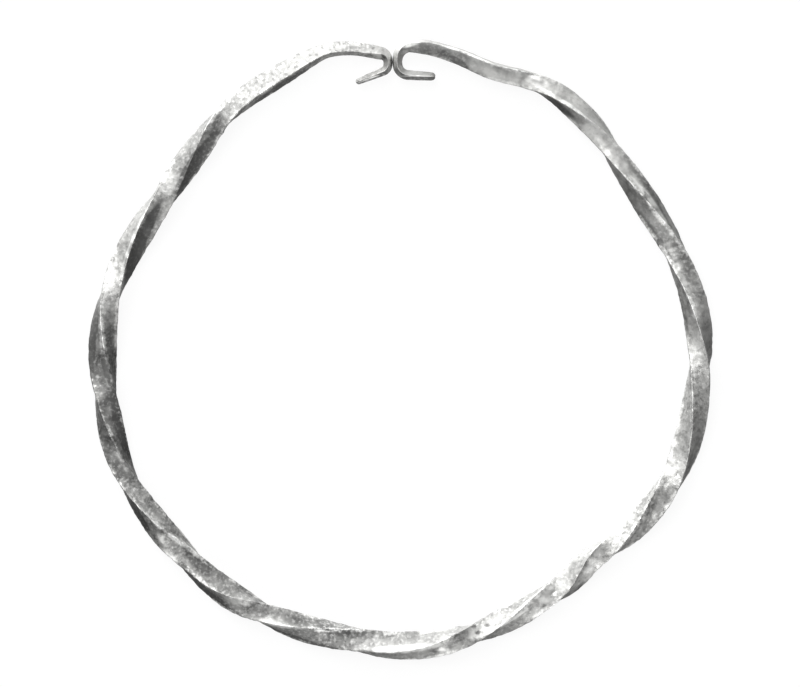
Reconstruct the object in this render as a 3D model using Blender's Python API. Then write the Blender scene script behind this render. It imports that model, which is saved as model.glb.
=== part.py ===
"""An open bracelet wrought from one square bar, twisted along the hoop.

The bar is drawn thinner towards its two ends, and each end is bent back on
itself into a small hook. The two hooks stand back to back at the top of the
ring. The bracelet lies flat: +Z is up, +Y points at the hooks, and the origin
is on the surface it lies on, under the middle of its outline.
"""

import math

import bmesh
import bpy
from mathutils import Vector

# The hoop and its bar, in metres
HOOP_RADIUS = 0.0331
BAR_SIDE = 0.00235
BAR_WIDTH_SHARE = 1.06
BAR_DEPTH_SHARE = 0.94
RIDGE_WIDTH = 0.00018
FACE_HOLLOW = 0.00005
WORN_FLAT_DEPTH = 0.00006

# From the middle of the bar to its worn ridge, as a share of the bar's side
RIDGE_REACH = 1 / math.sqrt(2) - RIDGE_WIDTH / 2 / BAR_SIDE

# Where the hoop was bent by hand: degrees clockwise from the top, and how far
# the middle of the bar stands outside the true circle, as a share of its radius
HAND_BENDS = (
    (5, 0.0413), (11, 0.0246), (18, 0.0067), (29, 0.0282), (39, 0.0105), (50, -0.0177),
    (60, -0.0241), (70, -0.0089), (80, 0.0084), (90, 0.0150), (98, 0.0135), (106, 0.0170),
    (115, 0.0140), (124, -0.0066), (131, -0.0273), (138, -0.0495), (145, -0.0380),
    (151, -0.0373), (158, -0.0285), (165, -0.0172), (171, -0.0091), (177, -0.0065),
    (183, -0.0090), (189, -0.0150), (196, -0.0124), (204, -0.0057), (213, 0.0048),
    (220, 0.0062), (228, 0.0050), (237, 0.0137), (248, 0.0229), (260, 0.0135), (273, 0.0130),
    (281, 0.0060), (288, -0.0084), (295, -0.0248), (304, -0.0375), (315, -0.0217),
    (324, 0.0070), (337, 0.0290), (346, 0.0565), (350, 0.0498), (354, 0.0320),
)

# How far the bar is twisted: degrees clockwise from the top, quarter turns.
# A face lies level at each whole number; each shank keeps a part turn.
TWIST = (
    (18.5, -0.14), (27.5, 0), (46.5, 1), (71, 2), (84.3, 2.5), (93.3, 3), (116.5, 4),
    (133.5, 5), (148, 6), (165.8, 7), (174.5, 7.5), (189, 8), (208.5, 9), (213, 9.34),
    (217.5, 9.65), (226, 10), (234, 10.5), (244.8, 11), (262.6, 12), (282, 13),
    (304, 14), (323.5, 15), (332.5, 15.17),
)

# How thick the bar is drawn: degrees clockwise from the top, share of its side
BAR_TAPER = (
    (5, 0.61), (20, 0.76), (40, 0.89), (65, 1.00), (80, 0.98), (93, 1.05),
    (105, 1.04), (150, 0.98), (172, 1.01), (185, 1.08), (197, 1.02), (217, 1.04),
    (250, 0.97), (272, 1.04), (300, 1.01), (320, 0.99), (336, 0.94), (342, 0.79),
    (345, 0.64), (354, 0.55),
)

# The hooks: where they meet, how far apart their backs stand, and the run
# from a hook's neck to the first mark of the hoop
CLASP_ASIDE = -0.00098
CLASP_OUT = -0.00041
HOOK_GAP = 0.00003
SHANK_RUN = 0.0018

# Each hook: the bar's side at the bend, at the tip and at the neck where it
# widens into the shank, the rod's length and droop, its lower and upper bends,
# and how far their centres lie below and above the place where the hooks meet
RIGHT_HOOK = {
    "rod_side": 0.00083, "tip_side": 0.00072, "neck_side": 0.00108,
    "rod_length": 0.00310, "droop": 3.5, "lower_bend": 0.00127, "drop": 0.00018,
    "upper_bend": 0.00160, "rise": 0.00022, "neck_slope": 10.0,
}
LEFT_HOOK = {
    "rod_side": 0.00076, "tip_side": 0.00054, "neck_side": 0.00112,
    "rod_length": 0.00332, "droop": 22.0, "lower_bend": 0.00082, "drop": 0.00028,
    "upper_bend": 0.00095, "rise": 0.00005, "neck_slope": 14.0,
}
RIDGE_UP_TURN = 0.5
NECK_TURN_SHARE = 0.5

# How finely the shape is cut: degrees between marks round the hoop and on the
# bends, the marks of a rounded tip, and the run of a facet against its width
HOOP_MARK_DEGREES = 1.65
BEND_MARK_DEGREES = 24.0
TIP_MARKS = 4
TIP_END_DEGREES = 22.0
FACET_RUN = 0.4
WELD_DISTANCE = 0.000001

# The metal: worn silver, dulled to a neutral grey
SILVER_COLOUR = (0.42, 0.42, 0.41, 1.0)
SILVER_ROUGHNESS = 0.38


def clear_scene():
    for thing in list(bpy.data.objects):
        bpy.data.objects.remove(thing)


def new_collection(name):
    collection = bpy.data.collections.new(name)
    bpy.context.scene.collection.children.link(collection)
    return collection


def worn_silver():
    material = bpy.data.materials.new("worn_silver")
    material.use_nodes = True
    shader = material.node_tree.nodes["Principled BSDF"]
    shader.inputs["Base Color"].default_value = SILVER_COLOUR
    shader.inputs["Metallic"].default_value = 1.0
    shader.inputs["Roughness"].default_value = SILVER_ROUGHNESS
    return material


def slope_at(table, row):
    """Slope of the smooth curve through a table of (place, value) rows."""
    before = table[max(row - 1, 0)]
    after = table[min(row + 1, len(table) - 1)]
    return (after[1] - before[1]) / (after[0] - before[0])


def smooth_value(table, place):
    """Value of that curve at a place, level beyond the table's two ends."""
    if place <= table[0][0]:
        return table[0][1]
    if place >= table[-1][0]:
        return table[-1][1]
    row = max(number for number, entry in enumerate(table) if entry[0] <= place)
    start, end = table[row], table[row + 1]
    span = end[0] - start[0]
    share = (place - start[0]) / span
    step = share * share * (3 - 2 * share) * (end[1] - start[1])
    lead = share * (1 - share) ** 2 * slope_at(table, row)
    trail = share * share * (share - 1) * slope_at(table, row + 1)
    return start[1] + step + span * (lead + trail)


def hoop_marks(start, end):
    """Marks round the hoop: x and y of the bar's middle, its side, its turns."""
    count = round((end - start) / HOOP_MARK_DEGREES)
    marks = []
    for number in range(count + 1):
        degrees = start + (end - start) * number / count
        reach = HOOP_RADIUS * (1 + smooth_value(HAND_BENDS, degrees))
        angle = math.radians(degrees)
        side = BAR_SIDE * smooth_value(BAR_TAPER, degrees)
        turn = smooth_value(TWIST, degrees)
        marks.append((reach * math.sin(angle), reach * math.cos(angle), side, turn))
    return marks


def bend_points(centre, radius, start, end):
    """Points along a bend, from one angle in degrees to another."""
    count = round(abs(end - start) / BEND_MARK_DEGREES)
    points = []
    for number in range(count + 1):
        angle = math.radians(start + (end - start) * number / count)
        points.append(centre + radius * Vector((math.cos(angle), math.sin(angle))))
    return points


def tip_places(tip, along_rod, side):
    """Places of a rounded tip, from its small end face to its full width."""
    reach = side / math.sqrt(2)
    places = []
    for number in range(TIP_MARKS):
        degrees = TIP_END_DEGREES + (90 - TIP_END_DEGREES) * number / (TIP_MARKS - 1)
        angle = math.radians(degrees)
        point = tip - reach * (1 - math.cos(angle)) * along_rod
        places.append((point, side * math.sin(angle)))
    return places


def hook_marks(hook, hand, ridge_turn, shank_turn):
    """Marks from a hook's tip to its neck; hand is 1 on the right, -1 on the left."""
    back = HOOK_GAP / 2 + hook["rod_side"] * RIDGE_REACH
    lower = Vector((back + hook["lower_bend"], -hook["drop"]))
    upper = Vector((back + hook["upper_bend"], hook["rise"]))
    low_bend = bend_points(lower, hook["lower_bend"], 270 - hook["droop"], 180)
    high_bend = bend_points(upper, hook["upper_bend"], 180, 90 + hook["neck_slope"])
    droop = math.radians(hook["droop"])
    along_rod = Vector((math.cos(droop), -math.sin(droop)))
    tip = low_bend[0] + hook["rod_length"] * along_rod

    places = tip_places(tip, along_rod, hook["tip_side"])
    places += [(point, hook["rod_side"]) for point in low_bend]
    marks = [(point, side, ridge_turn) for point, side in places]
    for number, point in enumerate(high_bend):
        share = number / (len(high_bend) - 1)
        side = hook["rod_side"] + (hook["neck_side"] - hook["rod_side"]) * share
        turn = ridge_turn + (shank_turn - ridge_turn) * NECK_TURN_SHARE * share
        marks.append((point, side, turn))
    height = HOOP_RADIUS + CLASP_OUT
    return [
        (CLASP_ASIDE + hand * point.x, height + point.y, side, turn)
        for point, side, turn in marks
    ]


def bar_marks():
    """Marks along the whole bar, from the right hook's tip to the left one's."""
    right_turn, left_turn = TWIST[0][1], TWIST[-1][1]
    right = hook_marks(RIGHT_HOOK, 1, round(right_turn) - RIDGE_UP_TURN, right_turn)
    left = hook_marks(LEFT_HOOK, -1, round(left_turn) + RIDGE_UP_TURN, left_turn)
    start = math.degrees((right[-1][0] + SHANK_RUN) / HOOP_RADIUS)
    end = 360 + math.degrees((left[-1][0] - SHANK_RUN) / HOOP_RADIUS)
    return right + hoop_marks(start, end) + left[::-1]


def bar_stations(marks):
    """The marks, with smooth steps between those that stand far apart."""
    lengths = [0.0]
    for before, after in zip(marks, marks[1:]):
        lengths.append(lengths[-1] + math.dist(before[:2], after[:2]))
    tables = [list(zip(lengths, values)) for values in zip(*marks)]
    stations = []
    for number in range(len(marks) - 1):
        run = lengths[number + 1] - lengths[number]
        side = max(marks[number][2], marks[number + 1][2])
        steps = max(1, round(run / (FACET_RUN * side)))
        for step in range(steps):
            place = lengths[number] + run * step / steps
            stations.append([smooth_value(table, place) for table in tables])
    stations.append(list(marks[-1]))
    return stations


def bar_section():
    """A near square of mean side 1, with narrow worn ridges and hollow faces."""
    ridge = RIDGE_WIDTH / math.sqrt(2) / BAR_SIDE
    hollow = FACE_HOLLOW / BAR_SIDE
    curve = bpy.data.curves.new("bar_section", "CURVE")
    curve.dimensions = "2D"
    outline = curve.splines.new("POLY")
    points = []
    for quarter in range(4):
        turn = math.pi / 2 * quarter
        along = Vector((math.cos(turn), math.sin(turn)))
        across = Vector((-along.y, along.x))
        points.append(along * (0.5 - hollow))
        points.append(along * 0.5 + across * (0.5 - ridge))
        points.append(along * (0.5 - ridge) + across * 0.5)
    outline.points.add(len(points) - 1)
    for target, point in zip(outline.points, points):
        target.co = (point.x * BAR_WIDTH_SHARE, point.y * BAR_DEPTH_SHARE, 0.0, 1.0)
    outline.use_cyclic_u = True
    section = bpy.data.objects.new("bar_section", curve)
    bpy.context.scene.collection.objects.link(section)
    return section


def swept_bar(stations, section):
    """The section swept along the stations, turned and thinned at each."""
    curve = bpy.data.curves.new("bar_route", "CURVE")
    curve.dimensions = "3D"
    curve.twist_mode = "Z_UP"
    curve.bevel_mode = "OBJECT"
    curve.bevel_object = section
    curve.use_fill_caps = True
    route = curve.splines.new("POLY")
    route.points.add(len(stations) - 1)
    for target, (x, y, side, turn) in zip(route.points, stations):
        target.co = (x, y, 0.0, 1.0)
        target.radius = side
        target.tilt = -math.pi / 2 * turn
    bar = bpy.data.objects.new("bar_route", curve)
    bpy.context.scene.collection.objects.link(bar)
    return bar


def solid_mesh(bar, name):
    """The swept bar as one closed mesh of triangles."""
    depsgraph = bpy.context.evaluated_depsgraph_get()
    mesh = bpy.data.meshes.new_from_object(bar.evaluated_get(depsgraph))
    mesh.name = name
    work = bmesh.new()
    work.from_mesh(mesh)
    bmesh.ops.remove_doubles(work, verts=work.verts, dist=WELD_DISTANCE)
    bmesh.ops.recalc_face_normals(work, faces=work.faces)
    bmesh.ops.triangulate(work, faces=work.faces)
    work.to_mesh(mesh)
    work.free()
    return mesh


def stand_on_origin(mesh):
    """Centre the outline on the origin, its worn ridges a little below zero."""
    lows = [min(vertex.co[axis] for vertex in mesh.vertices) for axis in range(2)]
    highs = [max(vertex.co[axis] for vertex in mesh.vertices) for axis in range(2)]
    lift = BAR_SIDE * RIDGE_REACH - WORN_FLAT_DEPTH
    shift = Vector((-(lows[0] + highs[0]) / 2, -(lows[1] + highs[1]) / 2, lift))
    for vertex in mesh.vertices:
        vertex.co += shift


def table_cutter(collection):
    """A slab below zero, which wears small flats on the lowest ridges."""
    width = 4 * HOOP_RADIUS
    depth = 2 * BAR_SIDE
    bpy.ops.mesh.primitive_cube_add(size=1.0, location=(0.0, 0.0, -depth / 2))
    cutter = bpy.context.active_object
    cutter.name = "table_cutter"
    cutter.scale = (width, width, depth)
    for old in list(cutter.users_collection):
        old.objects.unlink(cutter)
    collection.objects.link(cutter)
    cutter.hide_render = True
    cutter.display_type = "WIRE"
    return cutter


def twisted_bracelet(collection, cutters):
    section = bar_section()
    bar = swept_bar(bar_stations(bar_marks()), section)
    mesh = solid_mesh(bar, "twisted_bracelet")
    for guide in (bar, section):
        bpy.data.objects.remove(guide)
    stand_on_origin(mesh)
    mesh.materials.clear()
    mesh.materials.append(worn_silver())
    bracelet = bpy.data.objects.new("twisted_bracelet", mesh)
    collection.objects.link(bracelet)
    worn = bracelet.modifiers.new("worn_underside", "BOOLEAN")
    worn.operation = "DIFFERENCE"
    worn.solver = "EXACT"
    worn.object = table_cutter(cutters)
    return bracelet


def main():
    clear_scene()
    twisted_bracelet(new_collection("bracelet"), new_collection("cutters"))


main()
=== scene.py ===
# %% [markdown]
# An open bracelet was wrought from one square bar of silver. The smith drew the
# bar thinner towards its ends, twisted it, bent it round and curled each end
# into a small hook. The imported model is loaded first: it is the fixed frame,
# and the finely worked bracelet made below takes its place and keeps its size.

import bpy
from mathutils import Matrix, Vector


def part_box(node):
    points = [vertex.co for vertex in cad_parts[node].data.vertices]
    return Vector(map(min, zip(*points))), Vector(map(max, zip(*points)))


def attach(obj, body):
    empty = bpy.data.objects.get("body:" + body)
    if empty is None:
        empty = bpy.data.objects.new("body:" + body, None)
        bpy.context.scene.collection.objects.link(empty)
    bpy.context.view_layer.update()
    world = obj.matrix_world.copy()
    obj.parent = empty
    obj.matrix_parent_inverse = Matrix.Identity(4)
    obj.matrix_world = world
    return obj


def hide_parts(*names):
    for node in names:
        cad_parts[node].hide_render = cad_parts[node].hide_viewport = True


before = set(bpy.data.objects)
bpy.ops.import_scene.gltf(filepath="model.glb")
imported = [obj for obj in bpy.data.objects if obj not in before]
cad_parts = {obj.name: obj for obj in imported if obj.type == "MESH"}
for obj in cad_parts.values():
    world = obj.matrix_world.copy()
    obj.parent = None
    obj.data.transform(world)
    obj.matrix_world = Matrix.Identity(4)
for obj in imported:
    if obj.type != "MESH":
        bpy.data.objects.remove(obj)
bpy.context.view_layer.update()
node_low, node_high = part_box("twisted_bracelet")
print("packed pieces:", list(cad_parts))

# %% Modules, and nothing left selected
import math

import bmesh
import bpy
import numpy as np
from mathutils import Vector

bpy.ops.object.select_all(action="DESELECT")

# %% [markdown]
# The bar itself comes first, as sizes a smith would measure, in metres. A place
# round the ring is given in degrees clockwise from the top, where the two hooks
# meet. Each table pairs such a place with a value, and a smooth curve is read
# through the pairs, so a few rows carry the whole hand-made shape.

# %% Sizes of the hoop and its bar
HOOP_RADIUS = 0.0331
BAR_SIDE = 0.00235
BAR_WIDTH_SHARE = 1.06
BAR_DEPTH_SHARE = 0.94
RIDGE_WIDTH = 0.00018
FACE_HOLLOW = 0.00005
WORN_FLAT_DEPTH = 0.00006

# From the middle of the bar to its worn ridge, as a share of the bar's side
RIDGE_REACH = 1 / math.sqrt(2) - RIDGE_WIDTH / 2 / BAR_SIDE
print("from the bar's middle to its worn ridge, mm:", round(1000 * BAR_SIDE * RIDGE_REACH, 3))

# %% How far the hoop was bent in or out by hand
# Distance of the bar's middle outside the true circle, as a share of its radius
HAND_BENDS = (
    (5, 0.0413), (11, 0.0246), (18, 0.0067), (29, 0.0282), (39, 0.0105), (50, -0.0177),
    (60, -0.0241), (70, -0.0089), (80, 0.0084), (90, 0.0150), (98, 0.0135), (106, 0.0170),
    (115, 0.0140), (124, -0.0066), (131, -0.0273), (138, -0.0495), (145, -0.0380),
    (151, -0.0373), (158, -0.0285), (165, -0.0172), (171, -0.0091), (177, -0.0065),
    (183, -0.0090), (189, -0.0150), (196, -0.0124), (204, -0.0057), (213, 0.0048),
    (220, 0.0062), (228, 0.0050), (237, 0.0137), (248, 0.0229), (260, 0.0135), (273, 0.0130),
    (281, 0.0060), (288, -0.0084), (295, -0.0248), (304, -0.0375), (315, -0.0217),
    (324, 0.0070), (337, 0.0290), (346, 0.0565), (350, 0.0498), (354, 0.0320),
)
print("rows of hand bends:", len(HAND_BENDS))

# %% How far the bar is twisted
# In quarter turns: a face lies level at each whole number, and each shank keeps
# a part turn
TWIST = (
    (18.5, -0.14), (27.5, 0), (46.5, 1), (71, 2), (84.3, 2.5), (93.3, 3), (116.5, 4),
    (133.5, 5), (148, 6), (165.8, 7), (174.5, 7.5), (189, 8), (208.5, 9), (213, 9.34),
    (217.5, 9.65), (226, 10), (234, 10.5), (244.8, 11), (262.6, 12), (282, 13),
    (304, 14), (323.5, 15), (332.5, 15.17),
)
print("quarter turns of the twist:", round(TWIST[-1][1] - TWIST[0][1], 2))

# %% How thin the bar is drawn
# Share of its full side to which the bar is drawn down
BAR_TAPER = (
    (5, 0.61), (20, 0.76), (40, 0.89), (65, 1.00), (80, 0.98), (93, 1.05),
    (105, 1.04), (150, 0.98), (172, 1.01), (185, 1.08), (197, 1.02), (217, 1.04),
    (250, 0.97), (272, 1.04), (300, 1.01), (320, 0.99), (336, 0.94), (342, 0.79),
    (345, 0.64), (354, 0.55),
)
print("least share, at the left neck:", min(share for degrees, share in BAR_TAPER))

# %% [markdown]
# Each end is bent back on itself twice into a hook with a thin rod. A hook is
# given by its bends, its rod and the widths at the bend, the tip and the neck
# where it grows into the shank. The hooks stand back to back with a hair's gap.

# %% Sizes of the two hooks
# Lengths in metres, the rod's droop and the neck's slope in degrees
CLASP_ASIDE = -0.00098
CLASP_OUT = -0.00041
HOOK_GAP = 0.00001
SHANK_RUN = 0.0018
RIGHT_HOOK = {
    "rod_side": 0.00083, "tip_side": 0.00072, "neck_side": 0.00108,
    "rod_length": 0.00310, "droop": 3.5, "lower_bend": 0.00127, "drop": 0.00018,
    "upper_bend": 0.00160, "rise": 0.00022, "neck_slope": 10.0,
}
LEFT_HOOK = {
    "rod_side": 0.00076, "tip_side": 0.00054, "neck_side": 0.00112,
    "rod_length": 0.00332, "droop": 22.0, "lower_bend": 0.00082, "drop": 0.00028,
    "upper_bend": 0.00095, "rise": 0.00005, "neck_slope": 14.0,
}
RIDGE_UP_TURN = 0.5
NECK_TURN_SHARE = 0.5
HOOP_MARK_DEGREES = 1.65
BEND_MARK_DEGREES = 24.0
TIP_MARKS = 4
TIP_END_DEGREES = 22.0
print("hook rods mm:", [round(1000 * hook["rod_length"], 2) for hook in (RIGHT_HOOK, LEFT_HOOK)])

# %% [markdown]
# A smith's hand leaves no corners in a hoop, so each table is read along a
# smooth cubic curve: it passes through every row, and its slope there is that
# of the line between the row's neighbours. Straight steps would show as kinks.

# %% Read a value from a table of places
def slope_at(table, row):
    before = table[max(row - 1, 0)]
    after = table[min(row + 1, len(table) - 1)]
    return (after[1] - before[1]) / (after[0] - before[0])


def smooth_value(table, place):
    if place <= table[0][0]:
        return table[0][1]
    if place >= table[-1][0]:
        return table[-1][1]
    row = max(number for number, entry in enumerate(table) if entry[0] <= place)
    start, end = table[row], table[row + 1]
    span = end[0] - start[0]
    share = (place - start[0]) / span
    step = share * share * (3 - 2 * share) * (end[1] - start[1])
    lead = share * (1 - share) ** 2 * slope_at(table, row)
    trail = share * share * (share - 1) * slope_at(table, row + 1)
    return start[1] + step + span * (lead + trail)


print("side of the bar at 90 degrees, mm:", round(1000 * BAR_SIDE * smooth_value(BAR_TAPER, 90), 3))


# %% [markdown]
# A mark is one stop along the bar: where its middle lies, how thick the bar is
# there and how far it is turned. The marks could be set one by one, but worked
# out from the tables they follow when a size of the bracelet is changed.

# %% Marks round the hoop: x, y, side and quarter turns
def hoop_marks(start, end):
    count = round((end - start) / HOOP_MARK_DEGREES)
    marks = []
    for number in range(count + 1):
        degrees = start + (end - start) * number / count
        reach = HOOP_RADIUS * (1 + smooth_value(HAND_BENDS, degrees))
        angle = math.radians(degrees)
        side = BAR_SIDE * smooth_value(BAR_TAPER, degrees)
        turn = smooth_value(TWIST, degrees)
        marks.append((reach * math.sin(angle), reach * math.cos(angle), side, turn))
    return marks


print("marks on a quarter of the hoop:", len(hoop_marks(0, 90)))


# %% Marks along a hook, from its tip to its neck
def bend_points(centre, radius, start, end):
    count = round(abs(end - start) / BEND_MARK_DEGREES)
    points = []
    for number in range(count + 1):
        angle = math.radians(start + (end - start) * number / count)
        points.append(centre + radius * Vector((math.cos(angle), math.sin(angle))))
    return points


def tip_places(tip, along_rod, side):
    reach = side / math.sqrt(2)
    places = []
    for number in range(TIP_MARKS):
        degrees = TIP_END_DEGREES + (90 - TIP_END_DEGREES) * number / (TIP_MARKS - 1)
        angle = math.radians(degrees)
        point = tip - reach * (1 - math.cos(angle)) * along_rod
        places.append((point, side * math.sin(angle)))
    return places


def hook_marks(hook, hand, ridge_turn, shank_turn):
    back = HOOK_GAP / 2 + hook["rod_side"] * RIDGE_REACH
    lower = Vector((back + hook["lower_bend"], -hook["drop"]))
    upper = Vector((back + hook["upper_bend"], hook["rise"]))
    low_bend = bend_points(lower, hook["lower_bend"], 270 - hook["droop"], 180)
    high_bend = bend_points(upper, hook["upper_bend"], 180, 90 + hook["neck_slope"])
    droop = math.radians(hook["droop"])
    along_rod = Vector((math.cos(droop), -math.sin(droop)))
    tip = low_bend[0] + hook["rod_length"] * along_rod
    places = tip_places(tip, along_rod, hook["tip_side"])
    places += [(point, hook["rod_side"]) for point in low_bend]
    marks = [(point, side, ridge_turn) for point, side in places]
    for number, point in enumerate(high_bend):
        share = number / (len(high_bend) - 1)
        side = hook["rod_side"] + (hook["neck_side"] - hook["rod_side"]) * share
        turn = ridge_turn + (shank_turn - ridge_turn) * NECK_TURN_SHARE * share
        marks.append((point, side, turn))
    height = HOOP_RADIUS + CLASP_OUT
    return [
        (CLASP_ASIDE + hand * point.x, height + point.y, side, turn)
        for point, side, turn in marks
    ]


print("marks on the right hook:", len(hook_marks(RIGHT_HOOK, 1, 0.0, 0.0)))


# %% The whole bar, from the right hook's tip to the left one's
def bar_marks():
    right_turn, left_turn = TWIST[0][1], TWIST[-1][1]
    right = hook_marks(RIGHT_HOOK, 1, round(right_turn) - RIDGE_UP_TURN, right_turn)
    left = hook_marks(LEFT_HOOK, -1, round(left_turn) + RIDGE_UP_TURN, left_turn)
    start = math.degrees((right[-1][0] + SHANK_RUN) / HOOP_RADIUS)
    end = 360 + math.degrees((left[-1][0] - SHANK_RUN) / HOOP_RADIUS)
    return right + hoop_marks(start, end) + left[::-1]


marks = bar_marks()
print("marks along the bar:", len(marks))

# %% [markdown]
# The surface carries a grain with marks a third of a millimetre across, so the
# bar needs rings much closer than that. They stand nearer together where the bar
# is thin, in step with its side, so that its cells keep their shape.

# %% Rings along the bar
RINGS = 1600
FINE_SAMPLES = 6000
spans = [math.dist(before[:2], after[:2]) for before, after in zip(marks, marks[1:])]
lengths = np.concatenate(([0.0], np.cumsum(spans)))
tables = [list(zip(lengths, values)) for values in zip(*marks)]
samples = np.linspace(0.0, lengths[-1], FINE_SAMPLES)
sides = np.array([smooth_value(tables[2], place) for place in samples])
cells = np.concatenate(([0.0], np.cumsum(1.0 / sides[1:])))
ring_places = np.interp(np.linspace(0.0, cells[-1], RINGS + 1), cells, samples)
rings = np.array([[smooth_value(table, place) for table in tables] for place in ring_places])
steps = np.hypot(np.diff(rings[:, 0]), np.diff(rings[:, 1]))
ring_along = np.concatenate(([0.0], np.cumsum(steps)))
ring_degrees = np.degrees(np.arctan2(rings[:, 0], rings[:, 1])) % 360
print("bar length mm:", round(1000 * ring_along[-1], 1), "ring step mm:", round(1000 * steps.max(), 3))

# %% [markdown]
# The route is the line that the middle of the bar follows. It is a curve object
# of straight steps. Its tilt at each point twists the bar, a quarter turn for
# each level face, and its radius there is the share to which the bar is drawn.

# %% The route of the bent bar
route_data = bpy.data.curves.new("bar_route", "CURVE")
route_data.dimensions = "3D"
route_data.twist_mode = "Z_UP"
route_data.use_radius = True
route_data.use_deform_bounds = True
spline = route_data.splines.new("POLY")
spline.points.add(RINGS)
for point, (x, y, side, turn) in zip(spline.points, rings):
    point.co = (x, y, 0.0, 1.0)
    point.radius = side / BAR_SIDE
    point.tilt = -math.pi / 2 * turn
route = bpy.data.objects.new("bar_route", route_data)
bpy.context.scene.collection.objects.link(route)
print("route points:", len(spline.points))

# %% [markdown]
# The bar starts as the smith's does, straight and square: a cube stretched to
# the bar's length. Its four long edges are bevelled into worn ridges, then its
# faces are cut across and along into small cells by subdividing chosen edges.

# %% The straight bar
RIDGE_SOFTNESS = 1.5
RIDGE_ROUND = RIDGE_WIDTH / math.sqrt(2) * RIDGE_SOFTNESS
RIDGE_STEPS = 3
RIDGE_PROFILE = 0.5
FACE_CUTS = 11
LONG_CUTS = 15
bar_length = float(ring_along[-1])
bpy.ops.mesh.primitive_cube_add(size=1.0, location=(bar_length / 2, 0.0, 0.0))
bar = bpy.context.active_object
bar.name = "silver_bracelet"
bar.data.name = "silver_bracelet"
bar.scale = (bar_length, BAR_SIDE, BAR_SIDE)
bpy.ops.object.transform_apply(location=True, rotation=True, scale=True)
print("straight bar mm:", [round(1000 * value, 2) for value in bar.dimensions])


# %% Choose edges by their direction
def choose_edges(piece, wanted):
    bpy.ops.object.mode_set(mode="EDIT")
    bpy.ops.mesh.select_mode(type="EDGE")
    bpy.ops.mesh.select_all(action="DESELECT")
    work = bmesh.from_edit_mesh(piece.data)
    for edge in work.edges:
        start, end = (vertex.co for vertex in edge.verts)
        edge.select_set(wanted(end - start))
    work.select_flush_mode()
    bmesh.update_edit_mesh(piece.data)
    return sum(edge.select for edge in work.edges)


def runs_along(span):
    return abs(span.x) > abs(span.y) + abs(span.z)


def crosses_face(span):
    return abs(span.x) < abs(span.y) + abs(span.z) and span.length > BAR_SIDE / 2


print("long edges:", choose_edges(bar, runs_along))

# %% Bevel the ridges and cut the faces
bpy.ops.mesh.bevel(
    offset=RIDGE_ROUND, segments=RIDGE_STEPS, profile=RIDGE_PROFILE, affect="EDGES",
)
print("edges across the faces:", choose_edges(bar, crosses_face))
bpy.ops.mesh.subdivide(number_cuts=FACE_CUTS)
for cuts in (RINGS // (LONG_CUTS + 1) - 1, LONG_CUTS):
    print("edges along the bar:", choose_edges(bar, runs_along))
    bpy.ops.mesh.subdivide(number_cuts=cuts)
bpy.ops.object.mode_set(mode="OBJECT")
print("faces of the straight bar:", len(bar.data.polygons))

# %% [markdown]
# The rings are still evenly spaced, so each is slid to its own distance along
# the bar. The four faces are then hollowed a little: hammered faces sink in the
# middle, and the light gathers along their rims.

# %% Slide the rings to their places and hollow the faces
FACE_HALF = BAR_SIDE / 2
ON_FACE_WITHIN = RIDGE_ROUND / 100
along_even = np.linspace(0.0, bar_length, RINGS + 1)
for vertex in bar.data.vertices:
    vertex.co.x = float(np.interp(vertex.co.x, along_even, ring_along))
    across, other = (vertex.co.y, vertex.co.z)
    if abs(abs(other) - FACE_HALF) < ON_FACE_WITHIN:
        vertex.co.z -= math.copysign(FACE_HOLLOW * (1 - (across / FACE_HALF) ** 2), other)
    elif abs(abs(across) - FACE_HALF) < ON_FACE_WITHIN:
        vertex.co.y -= math.copysign(FACE_HOLLOW * (1 - (other / FACE_HALF) ** 2), across)
print("width across a face mm:", round(1000 * max(vertex.co.y for vertex in bar.data.vertices) * 2, 3))

# %% Remember where each point sits on the straight bar
straight = np.array([vertex.co for vertex in bar.data.vertices])
point_ring = np.interp(straight[:, 0], ring_along, np.arange(RINGS + 1))
point_ring = np.clip(np.round(point_ring), 0, RINGS).astype(int)
point_share = rings[point_ring, 2] / BAR_SIDE
corner_reach = FACE_HALF - RIDGE_ROUND
point_ridge = np.hypot(*(np.abs(straight[:, axis]) - corner_reach for axis in (1, 2)))
print("points on the bar:", len(straight))

# %% [markdown]
# Now the bar is bent. A Curve modifier lays it along the route, which also
# twists it and draws it down. A section swept along the same curve would give
# this form too, but a mesh that starts straight is easier to cut and to hollow.

# %% Draw the bar a little wider than it is deep
for vertex in bar.data.vertices:
    vertex.co.y *= BAR_WIDTH_SHARE
    vertex.co.z *= BAR_DEPTH_SHARE
print("bar mm:", [round(1000 * value, 2) for value in bar.dimensions])

# %% Bend the bar along its route
bend = bar.modifiers.new("bent_round", "CURVE")
bend.object = route
bend.deform_axis = "POS_X"
bpy.context.view_layer.objects.active = bar
bar.select_set(True)
bpy.ops.object.modifier_apply(modifier=bend.name)
bpy.data.objects.remove(route)
print("bent bar mm:", [round(1000 * value, 1) for value in bar.dimensions])

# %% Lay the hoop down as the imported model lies
corners = np.array([vertex.co for vertex in bar.data.vertices])
middle = (corners.min(axis=0) + corners.max(axis=0)) / 2
target = (node_low + node_high) / 2
lift = BAR_SIDE * RIDGE_REACH - WORN_FLAT_DEPTH
shift = Vector((target.x - middle[0], target.y - middle[1], lift))
for vertex in bar.data.vertices:
    vertex.co += shift
print("hoop centre mm:", round(1000 * shift.x, 3), round(1000 * shift.y, 3))

# %% [markdown]
# Long wear and burial have left their marks. Soft dents are the blows of the
# hammer, a fine grain and pits are the work of corrosion, and the ridges are
# nicked. Each is a Displace modifier with a procedural texture, held back by a
# vertex group, because the real surface is not rough all over.

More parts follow.
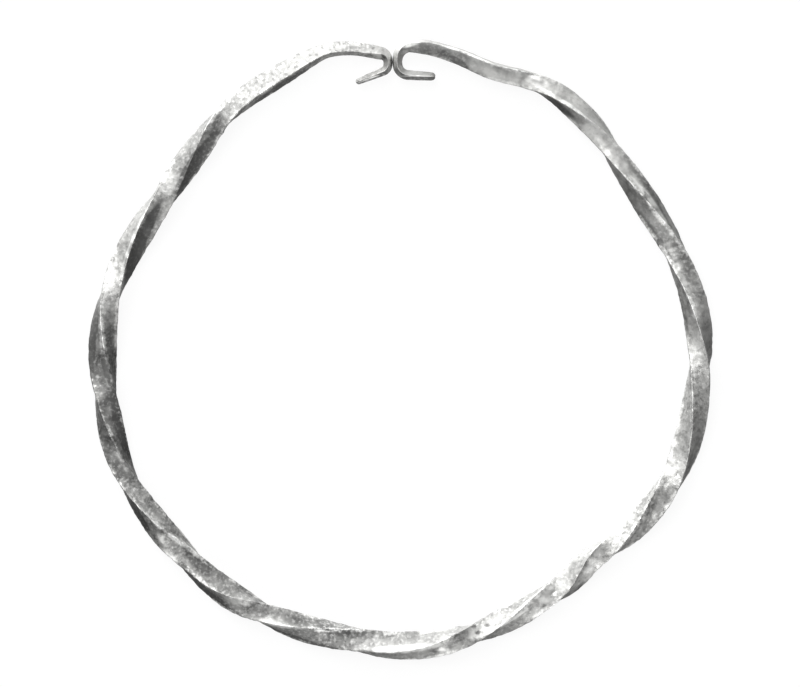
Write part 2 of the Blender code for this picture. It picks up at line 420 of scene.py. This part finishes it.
# %% How far each stretch of the bar is corroded
CORROSION = (
    (2, 0.5), (12, 0.45), (18, 0.2), (25, 0.3), (34, 0.4), (52, 0.35), (62, 0.35),
    (69, 0.6), (78, 0.9), (86, 0.4), (92, 0.8), (100, 0.9), (108, 0.7), (116, 0.9),
    (124, 1.0), (140, 0.8), (158, 0.9), (165, 0.8), (174, 0.5), (183, 0.7), (193, 1.0),
    (203, 0.7), (214, 0.8), (222, 0.5), (232, 1.0), (244, 0.7), (256, 0.5), (270, 0.5),
    (283, 0.8), (296, 0.7), (306, 0.6), (322, 0.7), (334, 0.9), (346, 1.0), (354, 1.0),
    (358, 0.5),
)
print("rows of corrosion:", len(CORROSION))


# %% Vertex groups for the modifiers
GROUP_STEPS = 20


def paint_group(piece, name, weights):
    group = piece.vertex_groups.new(name=name)
    steps = np.round(np.clip(weights, 0.0, 1.0) * GROUP_STEPS).astype(int)
    for step in range(1, GROUP_STEPS + 1):
        group.add(np.flatnonzero(steps == step).tolist(), step / GROUP_STEPS, "REPLACE")


NICKED_FULL = RIDGE_ROUND * 0.7
NICKED_GONE = RIDGE_ROUND * 2.1
ring_corrosion = np.array([smooth_value(CORROSION, degrees) for degrees in ring_degrees])
spared = np.clip(point_share, 0.0, 1.0) ** 2
corroded = ring_corrosion[point_ring] * spared
on_ridge = np.clip((NICKED_GONE - point_ridge) / (NICKED_GONE - NICKED_FULL), 0.0, 1.0)
paint_group(bar, "hammered", spared)
paint_group(bar, "corroded", corroded)
paint_group(bar, "ridges", on_ridge * spared)
print("groups:", [group.name for group in bar.vertex_groups])


# %% Dents, grain, pits and nicks, each a texture pushed into the surface
# Texture, size of its marks in mm, detail, contrast, depth in mm, group, and the
# texture's level that leaves the surface as it is
LAYERS = {
    "hammer_dents": ("CLOUDS", 1.1, 1, 1.6, 0.05, "hammered", 0.8),
    "corroded_grain": ("CLOUDS", 0.34, 2, 1.5, 0.04, "corroded", 0.85),
    "pits": ("VORONOI", 0.60, 0, 2.2, 0.025, "corroded", 0.6),
    "ridge_nicks": ("CLOUDS", 0.80, 2, 2.2, 0.07, "ridges", 0.9),
}


def wear(piece, name, kind, size, detail, contrast, depth, group, level):
    texture = bpy.data.textures.new(name, kind)
    texture.noise_scale = size / 1000
    texture.contrast = contrast
    if kind == "CLOUDS":
        texture.noise_depth = detail
    layer = piece.modifiers.new(name, "DISPLACE")
    layer.texture = texture
    layer.strength = depth / 1000
    layer.mid_level = level
    layer.vertex_group = group
    bpy.ops.object.modifier_apply(modifier=name)
    bpy.data.textures.remove(texture)


for name, row in LAYERS.items():
    wear(bar, name, *row)
print("worn layers:", list(LAYERS))

# %% [markdown]
# The larger lumps, hollows and patches of this bracelet have places of their
# own. They could be sculpted and painted by hand. Here each is a soft oval spot,
# given by what can be read off a ring seen from straight above: the degrees
# round it and the reach from its middle. A spot fades on the steep sides and is
# nothing on the underside, which stays plainer. The colour patches are partly
# painted light, shade and highlights laid onto the faces seen from above.

# %% Where each point lies as the eye looks down on it
places = np.array([vertex.co for vertex in bar.data.vertices])
normals = np.array([vertex.normal for vertex in bar.data.vertices])
seen_degrees = np.degrees(np.arctan2(places[:, 0], places[:, 1])) % 360
seen_reach = 1000 * np.hypot(places[:, 0], places[:, 1])
SEEN_CHANGE = 4.0
SEEN_EDGE_ON = 0.5
seen = np.clip(SEEN_CHANGE * normals[:, 2] + SEEN_EDGE_ON, 0.0, 1.0)


def spot(degrees, reach, half_length, half_width, lean=0.0):
    away = (seen_degrees - degrees + 180) % 360 - 180
    aside = seen_reach - reach - lean * away
    return np.clip(1 - (away / half_length) ** 2 - (aside / half_width) ** 2, 0.0, 1.0) * seen


print("points that face up:", int((normals[:, 2] > 0).sum()))

# %% Lumps and hollows
# Degrees, reach in mm, half length in degrees, half width in mm, height in mm
LUMP_FALL = 1.5
LUMPS = (
    (27.0, 33.90, 1.6, 0.45, 0.06), (87.3, 32.40, 0.6, 0.30, -0.10), (98.8, 33.30, 1.2, 0.40, 0.07),
    (109.2, 32.40, 1.2, 0.45, 0.10), (114.2, 34.10, 0.8, 0.35, -0.10), (122.4, 34.10, 1.6, 0.50, 0.10),
    (139.5, 32.60, 2.2, 0.40, 0.08), (147.5, 32.20, 0.8, 0.35, -0.08), (172.0, 34.05, 1.4, 0.40, 0.08),
    (189.0, 32.60, 1.0, 0.35, -0.08), (227.0, 33.30, 0.9, 0.35, 0.07), (231.2, 34.35, 2.1, 0.60, 0.22),
)
for *patch, height in LUMPS:
    places += normals * (spot(*patch) ** LUMP_FALL * height / 1000)[:, None]
bar.data.vertices.foreach_set("co", places.ravel())
print("lumps and hollows:", len(LUMPS))

# %% [markdown]
# The bracelet lies on its lowest ridges, and they are worn flat where it has
# rubbed on the wrist and the table. A Boolean could cut the flats, but pressing
# the lowest points up to the table's height leaves cleaner cells.

# %% Wear the lowest ridges flat
for vertex in bar.data.vertices:
    vertex.co.z = max(vertex.co.z, 0.0)
bar.data.update()
heights = [vertex.co.z for vertex in bar.data.vertices]
print("height mm:", round(1000 * min(heights), 3), round(1000 * max(heights), 3))

# %% Smooth shading that keeps the broad faces true
FACE_LEAD = 75
bpy.ops.object.shade_smooth()
weigh = bar.modifiers.new("faces_lead_the_shading", "WEIGHTED_NORMAL")
weigh.mode = "FACE_AREA"
weigh.weight = FACE_LEAD
bpy.ops.object.modifier_apply(modifier=weigh.name)
print("modifiers left on the bar:", len(bar.modifiers))

# %% [markdown]
# Colours are chosen as the eye names them, in sRGB hex, and turned to the linear
# values that the shader needs by one function.

# %% Colours and a helper for nodes
def linear(hex_colour):
    values = [int(hex_colour[place:place + 2], 16) / 255 for place in (0, 2, 4)]
    return [v / 12.92 if v <= 0.04045 else ((v + 0.055) / 1.055) ** 2.4 for v in values] + [1.0]


def add_node(tree, kind, settings=None, values=None, links=None):
    node = tree.nodes.new(kind)
    for name, value in (settings or {}).items():
        setattr(node, name, value)
    for socket, value in (values or {}).items():
        node.inputs[socket].default_value = value
    for socket, source in (links or {}).items():
        tree.links.new(source, node.inputs[socket])
    return node


TARNISHED = "6a6a69"
CLEANED = "c2c2c0"
# The rubbed cover, near white, is real rubbed silver on the ridges and painted highlights where the polish
# patches lie
COVERS = {"speckled": "e2e2e0", "pitted": "6a6a69", "rubbed_and_highlight": "f2f2f0"}
print("tarnish in linear values:", [round(value, 3) for value in linear(TARNISHED)[:3]])


# %% [markdown]
# Worn silver: hammered metal, darkened by tarnish and rubbed bright on its
# ridges. It is a metal, so its colour is its reflection. Tarnish lowers that
# reflection in blotches and pits; rubbing raises it where fingers and cloth
# reach. Painted light and shade lie in that colour too: stretches and patches
# are painted lighter or darker as the light falls on their faces, and thin
# bright streaks are painted highlights. The mesh keeps four attributes for this:
# how rubbed, how corroded, how bright with painted light and shade, and how
# polished with painted highlights each of its points is.

# %% Where the tarnish has been cleaned off, and painted light and shade along the ring
# 0 is the dullest, 1 the brightest
TONE_AND_PAINTED_LIGHT = (
    (2, 0.80), (10, 0.50), (20, 0.62), (36, 0.85), (50, 0.80), (58, 0.50), (68, 0.45),
    (80, 0.95), (92, 0.75), (102, 0.85), (112, 0.90), (122, 0.68), (137, 1.00),
    (150, 0.72), (165, 0.55), (180, 0.58), (192, 0.35), (205, 0.50), (213, 0.50),
    (222, 0.25), (232, 0.55), (245, 0.38), (258, 0.12), (268, 0.20), (276, 0.50),
    (284, 0.85), (292, 0.60), (301, 0.70), (312, 0.50), (324, 0.52), (338, 0.55),
    (350, 0.85),
)
print("rows of brightness:", len(TONE_AND_PAINTED_LIGHT))

# %% Bright, dull and polished patches, partly painted light, shade and highlights
# Degrees, reach in mm, half length in degrees, half width in mm, lean in mm for
# a degree, how much brighter, how much polished. Brighter is real cleaning and
# painted light, and below 0 real stains and painted shade. The thin polished
# streaks along the ridges and the hook rods are painted highlights.
PATCHES = (
    (1.5, 34.25, 2.5, 0.40, 0.15, 0.6, 0.5), (3.5, 30.90, 4.5, 0.60, 0.0, 0.2, 0.0),
    (3.5, 30.78, 4.0, 0.12, 0.02, 0.3, 0.9), (5.5, 33.70, 7.0, 0.80, -0.06, -0.45, 0.0),
    (11.5, 32.90, 2.4, 0.45, -0.20, -0.7, 0.0), (12.5, 34.10, 7.0, 0.24, -0.08, 0.6, 0.7),
    (17.0, 32.60, 3.5, 0.60, -0.05, 0.3, 0.0), (26.5, 33.80, 4.0, 0.70, 0.05, 0.4, 0.7),
    (33.0, 33.32, 8.0, 0.24, 0.01, 0.5, 0.8), (33.5, 32.60, 5.0, 0.40, -0.05, -0.8, 0.0),
    (38.0, 33.90, 8.0, 0.60, -0.07, 0.25, 0.0), (45.0, 32.25, 4.0, 0.40, -0.05, 0.3, 0.4),
    (55.5, 33.20, 6.0, 0.45, 0.04, -0.4, 0.0), (59.5, 32.70, 8.0, 0.38, 0.06, 0.3, 0.7),
    (63.5, 33.60, 4.5, 0.35, 0.03, 0.6, 0.0), (66.0, 31.30, 7.5, 0.50, 0.08, -0.5, 0.0),
    (69.8, 32.40, 0.6, 0.40, 0.0, 0.5, 0.2), (70.5, 31.80, 2.2, 0.35, 0.08, -0.4, 0.0),
    (73.5, 32.30, 1.6, 0.50, 0.0, 0.3, 0.4), (74.5, 33.60, 7.0, 0.75, 0.10, -0.4, 0.0),
    (77.0, 32.75, 2.6, 0.35, 0.05, 0.4, 0.4), (82.0, 32.10, 6.0, 0.30, 0.04, -0.5, 0.0),
    (90.0, 33.00, 6.0, 0.80, 0.03, 0.3, 0.1), (92.3, 33.05, 1.8, 0.50, 0.0, -0.4, 0.0),
    (98.0, 33.90, 3.0, 0.70, 0.10, 0.25, 0.0), (100.0, 33.20, 3.0, 0.35, 0.1, 0.2, 0.5),
    (109.0, 35.00, 7.0, 0.50, -0.02, -0.4, 0.0), (110.0, 32.70, 3.0, 0.50, 0.05, -0.2, 0.0),
    (115.0, 33.80, 3.0, 1.00, 0.0, 0.2, 0.35), (118.2, 33.80, 1.8, 0.80, 0.0, 0.3, 0.0),
    (121.0, 32.10, 4.0, 0.40, 0.0, -0.3, 0.0), (122.5, 34.10, 1.8, 0.55, 0.0, 0.7, 0.2),
    (129.5, 33.90, 4.0, 0.50, -0.15, -0.25, 0.0), (133.5, 32.80, 2.5, 0.60, -0.1, 0.3, 0.3),
    (137.5, 32.20, 4.5, 0.90, 0.1, 0.6, 0.6), (138.5, 31.75, 3.0, 0.30, 0.10, 0.7, 0.3),
    (143.0, 31.30, 9.0, 0.70, 0.0, -0.3, 0.0), (144.0, 33.35, 4.0, 0.30, 0.0, -0.6, 0.0),
    (149.0, 31.60, 2.5, 0.50, 0.0, 0.4, 0.0), (149.5, 32.30, 3.0, 0.80, 0.0, 0.6, 0.6),
    (156.0, 31.40, 6.0, 0.50, 0.0, -0.2, 0.0), (158.5, 32.80, 8.5, 0.25, 0.09, 0.2, 0.7),
    (161.0, 33.90, 5.0, 0.30, 0.0, -0.1, 0.0), (162.5, 32.40, 0.7, 0.30, 0.0, -0.9, 0.0),
    (163.2, 32.80, 3.8, 0.90, 0.12, 0.35, 0.1), (164.7, 32.90, 0.7, 0.25, 0.0, -1.2, 0.0),
    (165.2, 32.15, 0.6, 0.20, 0.0, -0.9, 0.0), (168.0, 33.20, 0.8, 0.30, 0.0, -0.4, 0.0),
    (171.0, 33.50, 4.5, 0.80, 0.20, -0.3, 0.0), (172.0, 34.05, 1.4, 0.45, 0.0, 0.5, 0.5),
    (176.0, 32.10, 8.0, 0.40, 0.0, -0.05, 0.0), (179.5, 33.60, 9.0, 0.60, 0.03, 0.4, 0.8),
    (193.5, 32.35, 5.0, 0.60, 0.0, -0.4, 0.0), (198.0, 34.50, 8.0, 0.35, 0.0, -0.7, 0.0),
    (202.0, 32.60, 5.0, 0.55, 0.05, -0.3, 0.0), (203.5, 33.80, 5.0, 0.28, 0.15, 0.6, 0.8),
    (206.0, 33.95, 2.6, 0.45, 0.18, 0.6, 0.3), (208.5, 32.40, 2.2, 0.30, 0.05, -0.7, 0.0),
    (209.0, 33.50, 4.0, 0.80, 0.1, -0.3, 0.0), (213.3, 33.65, 2.6, 0.50, 0.2, 0.5, 0.2),
    (218.0, 34.20, 3.5, 0.20, 0.05, 0.4, 0.45), (218.0, 34.80, 6.0, 0.35, 0.0, -0.7, 0.0),
    (221.2, 34.00, 0.6, 0.30, 0.0, 0.4, 0.6), (224.0, 33.00, 4.5, 0.80, 0.0, -0.4, 0.0),
    (224.5, 34.50, 3.5, 0.40, 0.0, -0.7, 0.0), (230.5, 33.20, 3.0, 0.22, 0.1, 0.4, 0.6),
    (231.2, 34.35, 2.2, 0.65, 0.0, 1.0, 0.35), (236.5, 32.90, 3.5, 0.50, 0.10, -0.3, 0.0),
    (238.0, 34.85, 5.0, 0.45, 0.0, -0.8, 0.0), (238.0, 34.05, 4.0, 0.20, 0.15, 0.3, 0.5),
    (245.5, 34.10, 4.5, 1.00, 0.0, -0.3, 0.0), (248.0, 33.75, 5.0, 0.22, 0.05, 0.3, 0.3),
    (254.5, 32.80, 7.0, 0.45, 0.0, -0.6, 0.0), (266.0, 33.00, 3.5, 0.45, 0.10, -1.0, 0.0),
    (271.5, 33.55, 6.0, 0.20, 0.07, 0.3, 0.3), (273.0, 34.70, 8.0, 0.70, -0.03, -0.9, 0.0),
    (279.0, 32.80, 2.5, 0.60, 0.0, -0.2, 0.0), (284.0, 33.50, 4.0, 0.90, 0.0, 0.4, 0.45),
    (286.0, 33.10, 2.5, 0.40, 0.10, -0.25, 0.0), (292.0, 33.20, 8.0, 0.40, 0.0, -0.1, 0.0),
    (292.0, 31.60, 11.0, 0.75, 0.0, -1.4, 0.0), (292.5, 32.50, 9.5, 0.20, 0.0, 0.4, 0.8),
    (312.0, 31.20, 10.0, 0.80, 0.08, -0.9, 0.0), (321.0, 32.60, 3.0, 0.80, 0.10, -0.35, 0.0),
    (335.0, 32.50, 10.0, 0.35, 0.09, -0.6, 0.0), (351.3, 34.10, 2.6, 0.50, -0.10, -0.5, 0.0),
    (353.0, 30.60, 3.5, 0.12, 0.12, 0.4, 0.9), (353.5, 30.70, 5.0, 0.90, 0.0, -0.4, 0.0),
    (355.4, 33.15, 1.1, 0.60, -0.25, 0.9, 0.2), (357.5, 33.00, 1.2, 0.35, -0.3, 0.3, 0.3),
    (358.3, 32.40, 0.5, 0.90, 0.0, -1.2, 0.0),
)
print("patches:", len(PATCHES))

# %% Lay the patches over the long changes
RUBBED_WIDTH = 0.0004
PATCH_FILL = 1.3
from_ridge = np.clip((point_ridge - RIDGE_ROUND) / RUBBED_WIDTH, 0.0, 1.0)
ring_bright = np.array([smooth_value(TONE_AND_PAINTED_LIGHT, degrees) for degrees in ring_degrees])
tone_and_painted_light_here = ring_bright[point_ring]
polish_and_painted_highlight = np.zeros(len(places))
stain_and_painted_shade = np.zeros(len(places))
# Patches that brighten or darken hold painted light and shade as well as real cleaning and stains, and the
# polish share holds painted highlights as well as real polish
for *patch, brighter, polish_share_and_highlight in PATCHES:
    share = np.clip(PATCH_FILL * spot(*patch), 0.0, 1.0)
    tone_and_painted_light_here = tone_and_painted_light_here + brighter * share
    polish_and_painted_highlight = np.maximum(polish_and_painted_highlight, polish_share_and_highlight * share)
    stain_and_painted_shade = np.maximum(stain_and_painted_shade, -brighter * share)

stain_and_painted_shade = np.clip(stain_and_painted_shade, 0.0, 1.0)
print("share of the points in a patch:", round(float((polish_and_painted_highlight + stain_and_painted_shade > 0).mean()), 2))

# %% The hooks: cleaner all over, with painted shade on the sides that look into the ring
HOOK_FULL = BAR_SIDE * 0.45
HOOK_GONE = BAR_SIDE * 0.55
HOOK_CLEANED = 0.25
HOOK_PAINTED_SHADE = 1.1
INWARD_CHANGE = 1.5
hooked = np.clip((HOOK_GONE - rings[point_ring, 2]) / (HOOK_GONE - HOOK_FULL), 0.0, 1.0)
turned_in = np.clip(-INWARD_CHANGE * normals[:, 1], 0.0, 1.0)
# Painted shade: the sides of the hooks that face into the ring are darkened in colour by the way they
# face, on top of the cleaning that lifts the whole hook
tone_and_painted_light_here = tone_and_painted_light_here + hooked * (HOOK_CLEANED - HOOK_PAINTED_SHADE * turned_in)
print("points on the hooks:", int((hooked > 0).sum()))

# %% Keep the four values on the mesh, as attributes that the silver reads
HOOK_RIDGES_WORN = 0.7
HOOK_CORROSION_LOST = 0.4
DARK_PATCH_RIDGES_LOST = 0.7
DARK_PATCH_CORROSION_LOST = 0.8
BRIGHT_LEAST, BRIGHT_MOST = -0.8, 1.3


def keep_attribute(piece, name, values):
    attribute = piece.data.attributes.new(name, "FLOAT", "POINT")
    attribute.data.foreach_set("value", np.asarray(values, dtype=np.float32))
    print(name, "reaches from", round(float(values.min()), 2), "to", round(float(values.max()), 2))


ridge_wear = (1.0 - from_ridge) * np.maximum(spared, HOOK_RIDGES_WORN * hooked)
decay = ring_corrosion[point_ring] * (1.0 - HOOK_CORROSION_LOST * hooked)
# The tone carries painted light and shade and the polish carries painted highlights, besides the metal's
# own tarnish, cleaning and polish
keep_attribute(bar, "ridge_wear", ridge_wear * (1.0 - DARK_PATCH_RIDGES_LOST * stain_and_painted_shade))
keep_attribute(bar, "corrosion", decay * (1.0 - DARK_PATCH_CORROSION_LOST * stain_and_painted_shade))
keep_attribute(bar, "tone_and_painted_light", np.clip(tone_and_painted_light_here, BRIGHT_LEAST, BRIGHT_MOST))
keep_attribute(bar, "polish_and_painted_highlight", polish_and_painted_highlight)

# %% [markdown]
# The material is built from small tables: first the noises, each with the size
# of its marks in mm, then their ranges, then the sums that join them. Object
# coordinates hold every noise still on the metal.

# %% The fields that the silver is mixed by
MM = 0.001
MIX_SHARE, MIX_FIRST, MIX_SECOND, MIX_COLOUR = 0, 6, 7, 2
silver = bpy.data.materials.new("worn_silver")
silver.use_nodes = True
tree = silver.node_tree
tree.nodes.clear()
place = add_node(tree, "ShaderNodeTexCoord").outputs["Object"]
field = {}
for name in ("ridge_wear", "corrosion", "tone_and_painted_light", "polish_and_painted_highlight"):
    field[name] = add_node(tree, "ShaderNodeAttribute", {"attribute_name": name}).outputs["Fac"]
print("values read from the mesh:", list(field))

# %% Noises: size of the marks in mm, detail, roughness
NOISES = (
    ("blotch", 1.4, 3.0, 0.55), ("speck", 0.36, 2.0, 0.5),
    ("fleck", 0.45, 2.0, 0.5), ("patch", 4.5, 2.0, 0.5),
)
for name, size, detail, roughness in NOISES:
    settings = {"Scale": 1 / (size * MM), "Detail": detail, "Roughness": roughness}
    field[name] = add_node(tree, "ShaderNodeTexNoise", None, settings, {"Vector": place}).outputs["Fac"]
print("noises:", len(NOISES))

# %% Ranges: the field read, its low and high, and the values that they become
RANGES = (
    ("blotch_tone", "blotch", 0.3, 0.7, -0.27, 0.27), ("speck_share", "speck", 0.50, 0.70, 0.0, 0.7),
    ("pit_share", "fleck", 0.46, 0.34, 0.0, 0.6), ("rub_patch", "patch", 0.38, 0.62, -0.25, 0.5),
    ("rub_blotch", "blotch", 0.35, 0.65, 0.0, 0.4), ("rub_speck", "speck", 0.4, 0.6, -0.15, 0.15),
    ("polish_and_highlight_edge", "blotch", 0.35, 0.65, 0.4, 1.2), ("dull", "blotch", 0.3, 0.7, 0.42, 0.54),
    ("smooth", "polish_and_painted_highlight", 0.0, 1.0, 0.0, -0.04),
)
for name, source, low, high, to_low, to_high in RANGES:
    limits = {"From Min": low, "From Max": high, "To Min": to_low, "To Max": to_high}
    spread = add_node(tree, "ShaderNodeMapRange", None, limits, {"Value": field[source]})
    field[name] = spread.outputs["Result"]
print("ranges:", len(RANGES))

# %% Two fields joined into a third: their sum, product or the larger of them
# Each is held between 0 and 1
RUB_START, RUB_FULL = 0.22, 0.75
# The polish field holds painted highlights, so the rub it feeds is real rubbing and painted highlight
# together
SUMS = (
    ("tone", "ADD", "tone_and_painted_light", "blotch_tone"), ("speckled", "MULTIPLY", "speck_share", "corrosion"),
    ("pitted", "MULTIPLY", "pit_share", "corrosion"), ("rub_place", "ADD", "rub_patch", "rub_blotch"),
    ("rub_edge", "ADD", "rub_place", "rub_speck"), ("rub_ridge", "MULTIPLY", "ridge_wear", "rub_edge"),
    ("polish_and_highlight_here", "MULTIPLY", "polish_and_painted_highlight", "polish_and_highlight_edge"), ("rub_and_highlight", "MAXIMUM", "rub_ridge", "polish_and_highlight_here"),
    ("rough", "ADD", "dull", "smooth"),
)
for name, kind, first, second in SUMS:
    sources = {0: field[first], 1: field[second]}
    settings = {"operation": kind, "use_clamp": True}
    field[name] = add_node(tree, "ShaderNodeMath", settings, None, sources).outputs["Value"]
limits = {"From Min": RUB_START, "From Max": RUB_FULL}
spread = add_node(tree, "ShaderNodeMapRange", None, limits, {"Value": field["rub_and_highlight"]})
field["rubbed_and_highlight"] = spread.outputs["Result"]
print("fields of the silver:", len(field))

# %% [markdown]
# The colour starts as tarnish, between dull and cleaned, with painted light and
# shade laid into that tone. Pale specks, dark pits and rubbed metal with painted
# highlights are then laid over it, each by its own field. A weak bump lifts the
# metal where the specks are.

# %% The worn silver
GRAIN_STRENGTH = 0.5
GRAIN_HEIGHT = 0.015 * MM
colour = add_node(
    tree, "ShaderNodeMix", {"data_type": "RGBA"},
    {MIX_FIRST: linear(TARNISHED), MIX_SECOND: linear(CLEANED)}, {MIX_SHARE: field["tone"]},
)
for name, cover in COVERS.items():
    colour = add_node(
        tree, "ShaderNodeMix", {"data_type": "RGBA"}, {MIX_SECOND: linear(cover)},
        {MIX_FIRST: colour.outputs[MIX_COLOUR], MIX_SHARE: field[name]},
    )
grain = add_node(
    tree, "ShaderNodeBump", None, {"Strength": GRAIN_STRENGTH, "Distance": GRAIN_HEIGHT},
    {"Height": field["speck"]},
)
inputs = {
    "Base Color": colour.outputs[MIX_COLOUR], "Roughness": field["rough"],
    "Normal": grain.outputs["Normal"],
}
shader = add_node(tree, "ShaderNodeBsdfPrincipled", None, {"Metallic": 1.0}, inputs)
add_node(tree, "ShaderNodeOutputMaterial", None, None, {"Surface": shader.outputs["BSDF"]})
bar.data.materials.clear()
bar.data.materials.append(silver)
print("nodes of the silver:", len(tree.nodes))

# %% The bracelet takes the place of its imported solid
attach(bar, "root")
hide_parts("twisted_bracelet")
print("triangles of the bracelet:", sum(len(face.vertices) - 2 for face in bar.data.polygons))

# %% [markdown]
# The bracelet lies on a plain white sheet that glows, like paper on a light
# table, so that hardly a shadow shows. The metal does not mirror the sheet: its
# steep sides show the dim room instead, as they do in the photograph. Nor does
# the sheet keep the room's light from reaching the sides from below.

# %% The pale floor
FLOOR_SIDE = 3.0
PAPER_TINT = "585858"
PAPER_ROUGHNESS = 0.9
PAPER_GLOW = 0.90
bpy.ops.object.select_all(action="DESELECT")
bpy.ops.mesh.primitive_plane_add(size=FLOOR_SIDE, location=(0.0, 0.0, 0.0))
floor = bpy.context.active_object
floor.name = "pale_floor"
floor.visible_glossy = False
floor.visible_shadow = False
paper = bpy.data.materials.new("pale_paper")
paper.use_nodes = True
paper_shader = paper.node_tree.nodes["Principled BSDF"]
paper_shader.inputs["Base Color"].default_value = linear(PAPER_TINT)
paper_shader.inputs["Roughness"].default_value = PAPER_ROUGHNESS
paper_shader.inputs["Specular IOR Level"].default_value = 0.0
paper_shader.inputs["Emission Color"].default_value = linear("ffffff")
paper_shader.inputs["Emission Strength"].default_value = PAPER_GLOW
floor.data.materials.append(paper)
print("floor side in m:", FLOOR_SIDE)

# %% [markdown]
# The light is that of a tall window beyond the top of the ring, a little to the
# left, in a room that glows on the window's side, less on the side across from
# it, and is dim on both flanks. That is what gives the twisted faces their
# change from bright to dark. The window and the weaker lights are area lamps.
# The room is a world whose brightness depends only on the direction looked at.

# %% The lamps
# Degrees round from +X, degrees down from overhead, width, height, radiance
LAMP_DISTANCE = 1.0
LAMPS = {
    "window": (113.0, 50.0, 0.75, 1.15, 1.75),
    "window_head": (120.0, 24.0, 0.60, 0.60, 3.9),
    "window_sill": (113.0, 78.0, 0.90, 0.45, 1.0),
    "near_fill": (284.0, 56.0, 0.50, 0.50, 3.3),
    "left_fill": (212.0, 50.0, 0.45, 0.45, 2.6),
    "right_fill": (36.0, 64.0, 0.50, 0.50, 2.2),
}


def toward(around, down):
    flat, drop = math.radians(around), math.radians(down)
    return Vector((math.cos(flat) * math.sin(drop), math.sin(flat) * math.sin(drop), math.cos(drop)))


def add_lamp(name, around, down, width, height, radiance):
    data = bpy.data.lights.new(name, "AREA")
    data.shape = "RECTANGLE"
    data.size = width
    data.size_y = height
    data.energy = radiance * width * height * math.pi
    lamp = bpy.data.objects.new(name, data)
    lamp.location = toward(around, down) * LAMP_DISTANCE
    lamp.rotation_euler = toward(around, down).to_track_quat("Z", "Y").to_euler()
    bpy.context.scene.collection.objects.link(lamp)


for name, row in LAMPS.items():
    add_lamp(name, *row)
print("lamps:", len(LAMPS))

# %% The room's glow
# Degrees round, degrees down, cosine where it starts, strength
ROOM_DIM = 0.18
GLOW_FULL = 0.95
ROOM_GLOWS = (
    (113.0, 98.0, 0.30, 1.20),
    (113.0, 130.0, 0.45, 1.10),
    (284.0, 90.0, 0.45, 0.45),
)
world = bpy.data.worlds.new("soft_room")
world.use_nodes = True
room = world.node_tree
looked_at = add_node(room, "ShaderNodeTexCoord").outputs["Generated"]
glow = add_node(room, "ShaderNodeValue").outputs["Value"]
glow.default_value = ROOM_DIM
for around, down, start, strength in ROOM_GLOWS:
    along = add_node(
        room, "ShaderNodeVectorMath", {"operation": "DOT_PRODUCT"},
        {1: toward(around, down)}, {0: looked_at},
    )
    spread = add_node(
        room, "ShaderNodeMapRange", {"interpolation_type": "SMOOTHSTEP"},
        {"From Min": start, "From Max": GLOW_FULL, "To Min": 0.0, "To Max": strength},
        {"Value": along.outputs["Value"]},
    )
    glow = add_node(
        room, "ShaderNodeMath", {"operation": "ADD"}, None, {0: glow, 1: spread.outputs["Result"]},
    ).outputs["Value"]
room.links.new(glow, room.nodes["Background"].inputs["Strength"])
room.nodes["Background"].inputs["Color"].default_value = linear("ffffff")
bpy.context.scene.world = world
print("room glows:", len(ROOM_GLOWS))

# %% [markdown]
# The ring is seen from straight above and shows next to no perspective, as with
# a long lens from well away. The lens is worked out from the width in view.

# %% The camera looks straight down
CAMERA_HEIGHT = 0.6
CAMERA_ASIDE = -0.00007
CAMERA_UP_THE_RING = 0.00069
VIEW_WIDTH = 0.08989
SENSOR_WIDTH = 36.0
camera_data = bpy.data.cameras.new("camera")
camera_data.sensor_width = SENSOR_WIDTH
camera_data.lens = SENSOR_WIDTH * CAMERA_HEIGHT / VIEW_WIDTH
camera = bpy.data.objects.new("camera", camera_data)
camera.location = (CAMERA_ASIDE, CAMERA_UP_THE_RING, CAMERA_HEIGHT + lift)
bpy.context.scene.collection.objects.link(camera)
bpy.context.scene.camera = camera
bpy.context.scene.view_settings.view_transform = "Standard"
print("lens mm:", round(camera_data.lens, 1))
